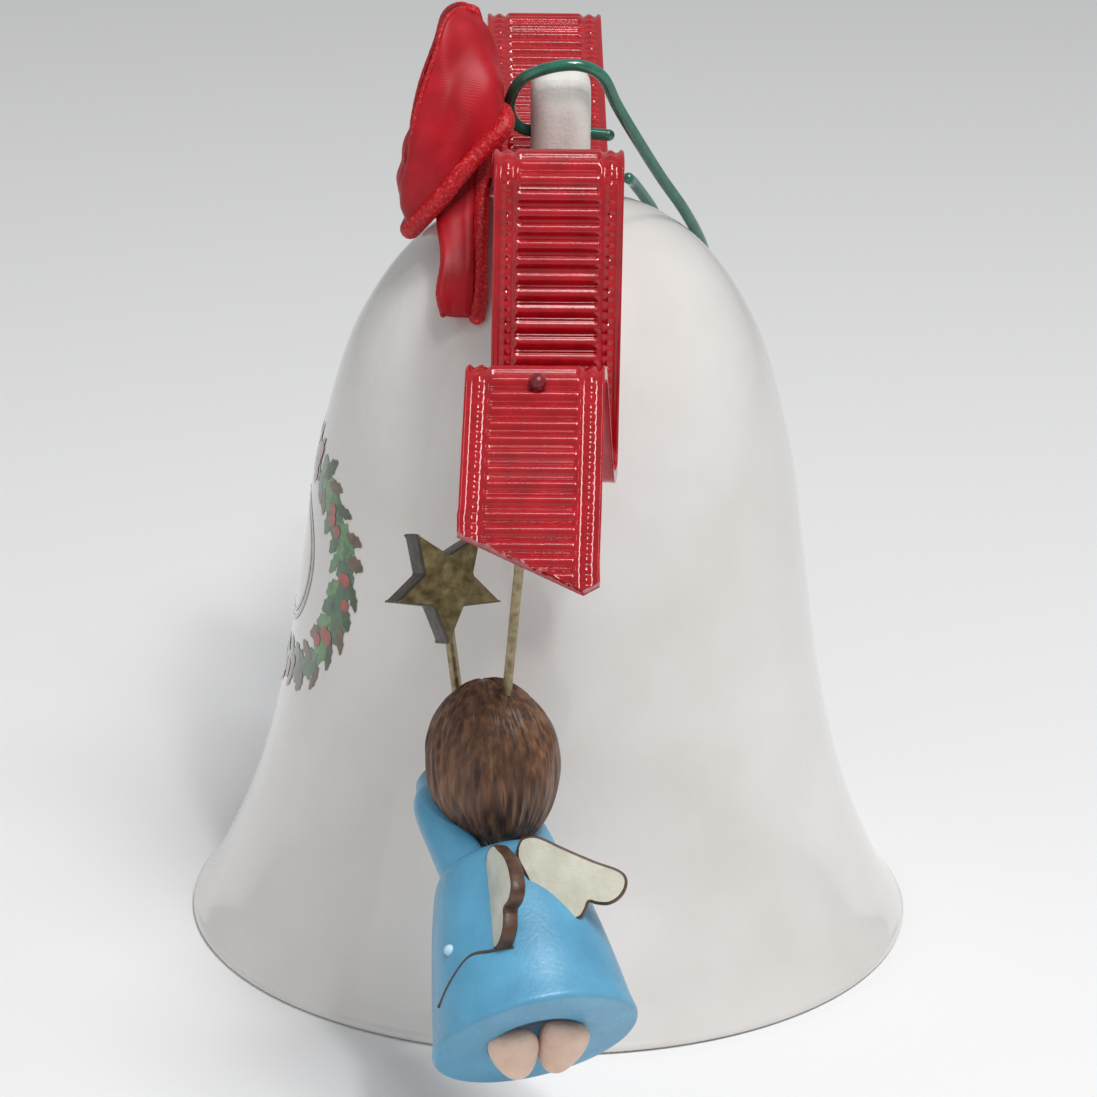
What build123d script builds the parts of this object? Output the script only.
from build123d import *
import math
import os

# Christmas bell ornament: a glazed porcelain bell whose crown loop comes up through a
# moulded ribbon banner. An angel hangs from each end of the banner, a satin bow is tied
# in front of the crown, a coated wire hook hangs in the crown loop, and a clapper hangs
# inside. Millimetres, +Z up, the bell's axis is Z and its rim stands on z = 0.
# The bow faces -Y and the banner runs along X.

# ---- driving dimensions ----
RIM_R = 36.0            # outer radius of the bell's lip
RIM_T = 2.2             # wall at the lip
CROWN_T = 3.2           # porcelain left over the middle of the dome
DOME_TOP = 73.2         # highest point of the dome
FOOT_FLAT = 1.2         # width of the flat ring that the bell stands on

LOOP_T = 5.6            # crown loop, along Y
LOOP_W = 8.0            # crown loop, along X
LOOP_TOP = 85.6
LOOP_ROUND = 2.0        # rounding of the crown loop's long edges
LOOP_HOLE_Z = 79.1
LOOP_HOLE_R = 1.1

HOOK_WIRE_R = 0.55      # coated hook wire

BANNER_T = 1.1          # banner plate
# corners of the wave that the plate's middle follows, each rounded by its radius
VALLEY_Z, VALLEY_R = 73.6, 8.0
HUMP_X, HUMP_Z, HUMP_R = 30.8, 84.8, 3.0
TROUGH_X, TROUGH_Z, TROUGH_R = 35.8, 53.2, 2.4
CREST_X, CREST_Z, CREST_R = 47.7, 71.3, 2.45
TAIL_X, TAIL_Z = 65.0, 55.0

PIVOT = Vector(50.5, -3.1, 69.9)  # centre of the ball on each angel wire
BALL_R = 0.75
FLARE_R, FLARE_H = 2.5, 4.0       # flare of the hole under the ball
ANGEL_WIRE_R = 0.42

STAPLE_WIRE_R = 0.5     # clapper's staple
LINK_WIRE_R = 0.45      # clapper's link and eye
WIRE_GAP = 0.06         # play between one wire loop and the next
CLAPPER_R = 6.0
CLAPPER_Z = 24.0

os.makedirs("parts", exist_ok=True)


def save(part, name):
    """Label one finished piece and write its STEP file."""
    part.label = name
    export_step(part, f"parts/{name}.step")


def save_pair(part, name):
    """Write a piece of the +X angel, and its mirror image for the -X angel."""
    save(part, f"right_{name}")
    save(mirror(part, about=Plane.YZ), f"left_{name}")


# ---- bell ----
OUTER = [(RIM_R - 0.6, 0.8), (32.85, 5.0), (29.15, 14.0), (26.4, 25.0), (24.5, 37.5), (22.8, 48.5),
         (18.9, 61.0), (11.5, 70.0), (0.0, DOME_TOP)]
INNER = [(RIM_R - RIM_T, 0.8), (30.6, 5.4), (26.9, 14.5), (24.1, 25.2), (22.2, 37.3), (20.4, 48.0),
         (16.6, 59.4), (9.6, 67.4), (0.0, DOME_TOP - CROWN_T)]

with BuildPart() as bell:
    with BuildSketch(Plane.XZ):
        with BuildLine():
            outside = Spline(*OUTER, tangents=[(-1.0, 2.2), (-1, 0)])
            top = Line(outside @ 1, INNER[-1])
            inside = Spline(*INNER, tangents=[(-1.0, 2.2), (-1, 0)])
            lip_in = ThreePointArc(inside @ 0, (RIM_R - RIM_T + 0.1, 0.25), (RIM_R - RIM_T + 0.45, 0))
            foot = Line(lip_in @ 1, (RIM_R - RIM_T + 0.45 + FOOT_FLAT, 0))
            lip_out = ThreePointArc(foot @ 1, (RIM_R - 0.12, 0.3), outside @ 0)
        make_face()
    revolve(axis=Axis.Z)
    # sockets for the clapper staple's two legs
    with Locations((0, 2.0, DOME_TOP - CROWN_T - 1), (0, -2.0, DOME_TOP - CROWN_T - 1)):
        Cylinder(STAPLE_WIRE_R, 2.8, align=(Align.CENTER, Align.CENTER, Align.MIN), mode=Mode.SUBTRACT)
save(bell.part, "bell_body")

# ---- crown loop: a thick round-topped tab, cupped onto the dome ----
with BuildPart() as crown_loop:
    with BuildSketch(Plane.XZ.offset(-LOOP_T / 2)):
        with Locations((0, LOOP_TOP - LOOP_W / 2)):
            Circle(LOOP_W / 2)
        with Locations((0, 72.0)):
            Rectangle(LOOP_W, LOOP_TOP - LOOP_W / 2 - 72.0, align=(Align.CENTER, Align.MIN))
    extrude(amount=LOOP_T)
    fillet(crown_loop.faces().filter_by(Axis.Y).edges(), LOOP_ROUND)
    with Locations(Location((0, 0, LOOP_HOLE_Z), (90, 0, 0))):
        Cylinder(LOOP_HOLE_R, 3 * LOOP_T, mode=Mode.SUBTRACT)
    add(bell.part, mode=Mode.SUBTRACT)
save(crown_loop.part, "crown_loop")

# ---- ribbon banner ----
# One thin plate: its wave is drawn in XZ, its outline is drawn from above.
with BuildPart() as banner:
    with BuildSketch(Plane.XZ):
        with BuildLine() as wave:
            corners = [(-TAIL_X, TAIL_Z), (-CREST_X, CREST_Z), (-TROUGH_X, TROUGH_Z), (-HUMP_X, HUMP_Z),
                       (0, VALLEY_Z), (HUMP_X, HUMP_Z), (TROUGH_X, TROUGH_Z), (CREST_X, CREST_Z),
                       (TAIL_X, TAIL_Z)]
            radii = [CREST_R, TROUGH_R, HUMP_R, VALLEY_R, HUMP_R, TROUGH_R, CREST_R]
            FilletPolyline(*corners, radius=radii)
            offset(amount=BANNER_T / 2, side=Side.BOTH)
        make_face()
    extrude(amount=30, both=True)
    with BuildSketch(Plane.XY.offset(40)) as outline:
        with BuildLine():
            right_edge = Polyline((0, 4.75), (34, 4.7), (48.5, 2.6), (63.3, 1.9), (63.9, 0.6), (60.0, -9.8),
                                  (48.5, -9.1), (34, -6.7), (0, -6.55))
            mirror(right_edge, about=Plane.YZ)
        make_face()
    extrude(amount=60, mode=Mode.INTERSECT)
    # slot for the crown loop
    with Locations((0, 0, VALLEY_Z)):
        Box(LOOP_W + 0.4, LOOP_T + 0.4, 12, mode=Mode.SUBTRACT)
    # a hole in each tail, flared underneath so that the wire can swing
    for side in (-1, 1):
        with Locations((side * PIVOT.X, PIVOT.Y, PIVOT.Z)):
            Cone(FLARE_R, 0.5, FLARE_H, align=(Align.CENTER, Align.CENTER, Align.MAX), mode=Mode.SUBTRACT)
            Sphere(BALL_R + 0.06, mode=Mode.SUBTRACT)
    add(bell.part, mode=Mode.SUBTRACT)
save(banner.part, "ribbon_banner")

# ---- clapper ----
STAPLE_Z = 66.0         # centre of the staple's bar
LINK_TURN_R = STAPLE_WIRE_R + WIRE_GAP + LINK_WIRE_R
LINK_DROP = 4.2         # from the staple's bar to the link's lowest wire
EYE_TURN_R = 2 * LINK_WIRE_R + WIRE_GAP
EYE_DROP = 3.4

with BuildPart() as staple:
    with BuildLine() as staple_path:
        FilletPolyline((0, -2, DOME_TOP - CROWN_T + 1.8), (0, -2, STAPLE_Z), (0, 2, STAPLE_Z),
                       (0, 2, DOME_TOP - CROWN_T + 1.8), radius=0.9)
    with BuildSketch(Plane(origin=staple_path.line @ 0, z_dir=staple_path.line % 0)):
        Circle(STAPLE_WIRE_R)
    sweep(path=staple_path.line)
save(staple.part, "clapper_staple")

link_low = STAPLE_Z - LINK_DROP
with BuildPart() as link:
    with BuildLine() as link_path:
        upper = CenterArc((0, STAPLE_Z, 0), LINK_TURN_R, 0, 180)
        lower = CenterArc((0, link_low + LINK_TURN_R, 0), LINK_TURN_R, 180, 180)
        Line(upper @ 0, lower @ 1)
        Line(upper @ 1, lower @ 0)
    link_wire = Wire(link_path.edges()).rotate(Axis.X, 90)
    with BuildSketch(Plane(origin=link_wire @ 0, z_dir=link_wire % 0)):
        Circle(LINK_WIRE_R)
    sweep(path=link_wire)
save(link.part, "clapper_link")

with BuildPart() as stem:
    with BuildLine() as eye_path:
        upper = CenterArc((0, link_low, 0), EYE_TURN_R, 0, 180)
        lower = CenterArc((0, link_low - EYE_DROP + EYE_TURN_R, 0), EYE_TURN_R, 180, 180)
        Line(upper @ 0, lower @ 1)
        Line(upper @ 1, lower @ 0)
    eye_wire = Wire(eye_path.edges()).rotate(Axis.X, 90).rotate(Axis.Z, 90)
    with BuildSketch(Plane(origin=eye_wire @ 0, z_dir=eye_wire % 0)):
        Circle(LINK_WIRE_R)
    sweep(path=eye_wire)
    with BuildSketch(Plane.XY.offset(CLAPPER_Z - CLAPPER_R - 0.6)):
        Circle(0.6)
    extrude(amount=link_low - EYE_DROP - CLAPPER_Z + CLAPPER_R + 0.6)
save(stem.part, "clapper_stem")

with BuildPart() as clapper:
    with Locations((0, 0, CLAPPER_Z)):
        Sphere(CLAPPER_R)
    add(stem.part, mode=Mode.SUBTRACT)
save(clapper.part, "clapper_ball")

# ---- hook wire: short end, eye through the crown hole and over the loop, shank, hook ----
with BuildPart() as hook:
    with BuildLine() as hook_path:
        hook_line = FilletPolyline(
            (0, 4.6, LOOP_HOLE_Z),
            (0, -4.7, LOOP_HOLE_Z),
            (4.1, -4.6, LOOP_HOLE_Z + 6.3),
            (4.6, 4.2, LOOP_HOLE_Z + 6.9),
            (-6.9, 12.3, 69.6),
            (-15.0, 15.4, 61.0),
            (-17.5, 10.2, 65.0),
            (-9.6, 7.2, 72.0),
            radius=[1.9, 2.2, 2.4, 6.0, 2.4, 2.4])
    with BuildSketch(Plane(origin=hook_line @ 0, z_dir=hook_line % 0)):
        Circle(HOOK_WIRE_R)
    sweep(path=hook_line)
save(hook.part, "hook_wire")

# ---- satin bow, as simple closed solids: two loops, a knot and two tails ----
BOW_Y = -11.0
KNOT = (4.4, 6.4, 7.0)
with BuildPart() as bow_knot:
    with Locations((0, BOW_Y + 0.2, 80.0)):
        Box(*KNOT)
    fillet(bow_knot.edges(), 1.5)
save(bow_knot.part, "bow_knot")

with BuildPart() as bow_loops:
    # the +X loop stands up, the other droops a little
    for side, middle_z in ((1, 82.6), (-1, 80.4)):
        with Locations(Location((side * 8.4, BOW_Y, middle_z), (0, side * 8, 0))):
            Box(14.0, 7.8, 16.6)
    fillet(bow_loops.edges(), 2.4)
    add(bow_knot.part, mode=Mode.SUBTRACT)
save(bow_loops.part, "bow_loops")

with BuildPart() as bow_tails:
    for side in (-1, 1):
        with Locations(Location((side * 9.6, BOW_Y + 1.2, 71.2), (0, side * 40, 0))):
            Box(17.0, 4.8, 2.6)
    fillet(bow_tails.edges(), 0.9)
    for other in (bow_knot.part, bow_loops.part, bell.part):
        add(other, mode=Mode.SUBTRACT)
save(bow_tails.part, "bow_tails")

# ---- angels ----
HEAD = Vector(45.5, -6.5, 33.4)          # middle of the head
HEM = Vector(63.0, -2.8, 15.3)           # middle of the robe's hem
BODY = Vector(0.715, 0.22, -0.655).normalized()    # head to feet
LATERAL = Vector(-0.36, 0.93, 0).normalized()      # towards the +Y wing
LATERAL = (LATERAL - BODY * LATERAL.dot(BODY)).normalized()
BACK = BODY.cross(LATERAL).normalized()
HEAD_UP = Vector(-0.35, -0.12, 0.93).normalized()
FACE = HEAD_UP.cross(LATERAL).normalized()
HAIR_R, HAIR_SPAN = 5.85, 3.0            # the hair is a capsule
HEAD_R, HEAD_SPAN = 5.0, 1.4             # so is the head inside it
SLEEVE_R, HAND_R = 1.95, 1.5
FOOT_R, FOOT_SPAN = 1.9, 2.4
WING_T = 1.3
if BACK.Z < 0:
    BACK = BACK * -1
if FACE.X > 0:
    FACE = FACE * -1


def capsule(centre, axis, radius, span):
    """A round-ended cylinder; span is the distance between its two end centres."""
    frame = Plane(origin=centre, z_dir=axis)
    with BuildPart(frame, mode=Mode.PRIVATE) as solid:
        Cylinder(radius, span)
        with Locations((0, 0, span / 2), (0, 0, -span / 2)):
            Sphere(radius)
    return solid.part


def largest(part):
    """The one solid that is left when trimming has shaved off slivers."""
    return part.solids().sort_by(SortBy.VOLUME)[-1]


HEAD_ENTRY = HEAD + Vector(0.5, 1.2, 6.7)
with BuildPart() as angel_wire:
    with BuildLine():
        wire_line = Polyline(PIVOT, HEAD_ENTRY + (HEAD_ENTRY - PIVOT).normalized() * 2.4)
    with BuildSketch(Plane(origin=wire_line @ 0, z_dir=wire_line % 0)):
        Circle(ANGEL_WIRE_R)
    sweep(path=wire_line)
    with Locations(PIVOT):
        Sphere(BALL_R)
save_pair(angel_wire.part, "hanging_wire")

with BuildPart() as head:
    add(capsule(HEAD + FACE * 0.7 - HEAD_UP * 0.6, HEAD_UP, HEAD_R, HEAD_SPAN))
    add(angel_wire.part, mode=Mode.SUBTRACT)
save_pair(head.part, "head")

with BuildPart() as hair:
    add(capsule(HEAD, HEAD_UP, HAIR_R, HAIR_SPAN))
    # the fringe and the sides stop at a plane across the front of the face
    split(bisect_by=Plane(origin=HEAD + FACE * 3.4, z_dir=FACE), keep=Keep.BOTTOM)
    add(head.part, mode=Mode.SUBTRACT)
    add(angel_wire.part, mode=Mode.SUBTRACT)
hair_solid = largest(hair.part)
save_pair(Part() + hair_solid, "hair")

# robe: distance up from the hem, radius, and how far the section sits towards +Y
ROBE_SECTIONS = [(0.0, 9.0, 0.0), (7.5, 7.85, 0.35), (16.5, 6.0, 0.6)]
with BuildPart() as robe:
    for distance, radius, shift in ROBE_SECTIONS:
        section = Plane(origin=HEM - BODY * distance + LATERAL * shift, x_dir=LATERAL, z_dir=BODY)
        with BuildSketch(section):
            Circle(radius)
    loft()
    add(hair.part, mode=Mode.SUBTRACT)
    add(head.part, mode=Mode.SUBTRACT)
robe_solid = largest(robe.part)
save_pair(Part() + robe_solid, "robe")

# wand and star, held up in front of the face
STAR = Vector(37.0, -10.9, 47.1)
WAND_LOW = Vector(37.6, -8.6, 29.6)
STAR_R, STAR_IN, STAR_T = 5.45, 2.55, 2.7
star_plane = Plane(origin=STAR, x_dir=(-0.42, 0.895, -0.144), z_dir=(0.843, 0.445, 0.3))
corners = []
for i in range(10):
    reach = STAR_R if i % 2 == 0 else STAR_IN
    turn = math.radians(36 * i)
    corners.append((-reach * math.sin(turn), -reach * math.cos(turn)))  # one tip points down
with BuildPart() as star:
    with BuildSketch(star_plane):
        with BuildLine():
            Polyline(*corners, close=True)
        make_face()
    extrude(amount=STAR_T / 2, both=True)
save_pair(star.part, "star")

with BuildPart() as wand:
    with BuildSketch(Plane(origin=WAND_LOW, z_dir=STAR - WAND_LOW)):
        Circle(0.45)
    extrude(amount=(STAR - WAND_LOW).length - 1.0)
    add(star.part, mode=Mode.SUBTRACT)
save_pair(wand.part, "star_wand")

# arms: each sleeve runs from the shoulder, below the head, to a hand on the wand
ELBOWS = {"front": Vector(46.0, -11.2, 28.9), "rear": Vector(44.6, -3.2, 25.6)}
finished = [robe_solid, hair_solid, head.part, wand.part]
for name, side in (("front", -1), ("rear", 1)):
    shoulder = HEM - BODY * 14.5 + LATERAL * (side * 3.2 + 0.9)
    wrist = WAND_LOW + LATERAL * side * 2.6 + Vector(2.2, 0, -0.8)
    hand_middle = WAND_LOW + LATERAL * side * 1.2 + Vector(0.3, 0, 0.8)
    with BuildPart() as sleeve:
        with BuildLine():
            arm_line = FilletPolyline(shoulder, ELBOWS[name], wrist, radius=2.5)
        with BuildSketch(Plane(origin=arm_line @ 0, z_dir=arm_line % 0)):
            Circle(SLEEVE_R)
        sweep(path=arm_line)
        for other in finished:
            add(other, mode=Mode.SUBTRACT)
    sleeve_solid = largest(sleeve.part)
    save_pair(Part() + sleeve_solid, f"sleeve_{name}")
    finished.append(sleeve_solid)
    with BuildPart() as hand:
        with Locations(hand_middle):
            Sphere(HAND_R)
        for other in finished:
            add(other, mode=Mode.SUBTRACT)
    hand_solid = largest(hand.part)
    save_pair(Part() + hand_solid, f"hand_{name}")
    finished.append(hand_solid)

# feet: two soles below the hem
for name, across, rise in (("foot_front", -2.0, 0.0), ("foot_rear", 2.0, 0.2)):
    with BuildPart() as foot:
        centre = HEM + BODY * 1.0 + LATERAL * across + BACK * rise
        add(capsule(centre, Vector(0.2, 0.1, 0.95), FOOT_R, FOOT_SPAN))
        add(robe_solid, mode=Mode.SUBTRACT)
    save_pair(Part() + largest(foot.part), name)

# wings: lobed plates glued to the nape, one spread out and one standing up from the back
WINGS = {
    "wing_rear": (Vector(56.8, -4.5, 30.5), Vector(0.213, 0.952, -0.22), Vector(0.85, -0.15, 0.48)),
    "wing_front": (Vector(56.4, -6.2, 30.2), Vector(0.782, 0.03, -0.623), Vector(-0.356, 0.911, -0.12)),
}
for name, (root, span, facing) in WINGS.items():
    facing = facing - span.normalized() * facing.dot(span.normalized())
    with BuildPart() as wing:
        with BuildSketch(Plane(origin=root, x_dir=span, z_dir=facing)):
            with BuildLine():
                lead = Polyline((0, 0.7), (1.2, 1.2), (8.9, 0.6))
                tip = ThreePointArc(lead @ 1, (10.0, -0.8), (9.0, -2.5))
                notch = Line(tip @ 1, (7.4, -2.8))
                lobe = ThreePointArc(notch @ 1, (6.4, -4.8), (3.5, -4.0))
                Polyline(lobe @ 1, (1.4, -2.1), (0.1, -0.8), lead @ 0)
            make_face()
        extrude(amount=WING_T / 2, both=True)
        for other in (robe_solid, hair_solid):
            add(other, mode=Mode.SUBTRACT)
    save_pair(Part() + largest(wing.part), name)
